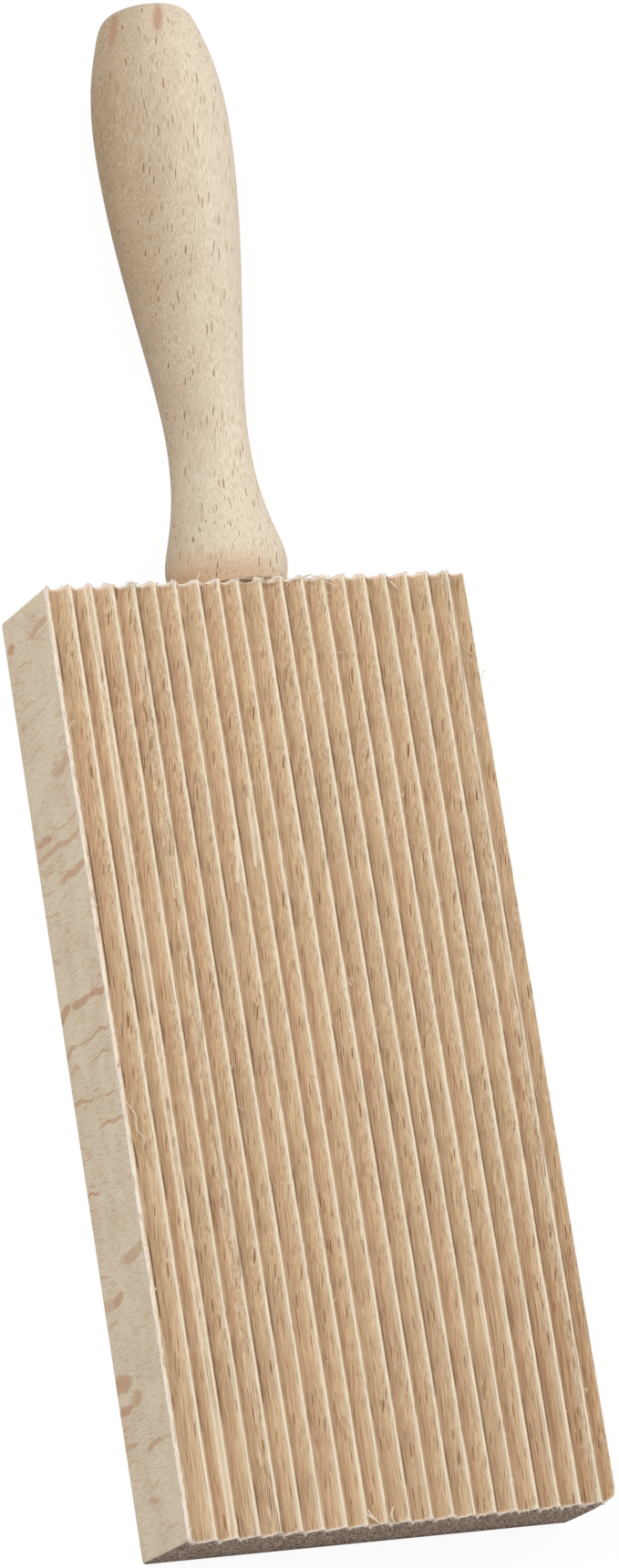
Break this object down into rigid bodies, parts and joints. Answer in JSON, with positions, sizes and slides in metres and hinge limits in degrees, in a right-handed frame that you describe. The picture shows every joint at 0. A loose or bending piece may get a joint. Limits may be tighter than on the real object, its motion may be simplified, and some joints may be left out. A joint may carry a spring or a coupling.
{
  "type": "gnocchi board",
  "caption": "Fluted wooden board with a turned handle, for rolling gnocchi and small pasta across its ridges",
  "frame": {"origin": "centre of the block's flat back face", "axes": "+Y runs along the length from the free end towards the handle, +Z out of the fluted face, +X across the width"},
  "size_m": [0.06, 0.2075, 0.0182],
  "materials": {
    "block_beech": "bare, freshly cut",
    "handle_beech": "bare, turned and sanded"
  },
  "bodies": {
    "root": {"ridged_block": "block_beech", "turned_handle": "handle_beech"}
  },
  "joints": []
}
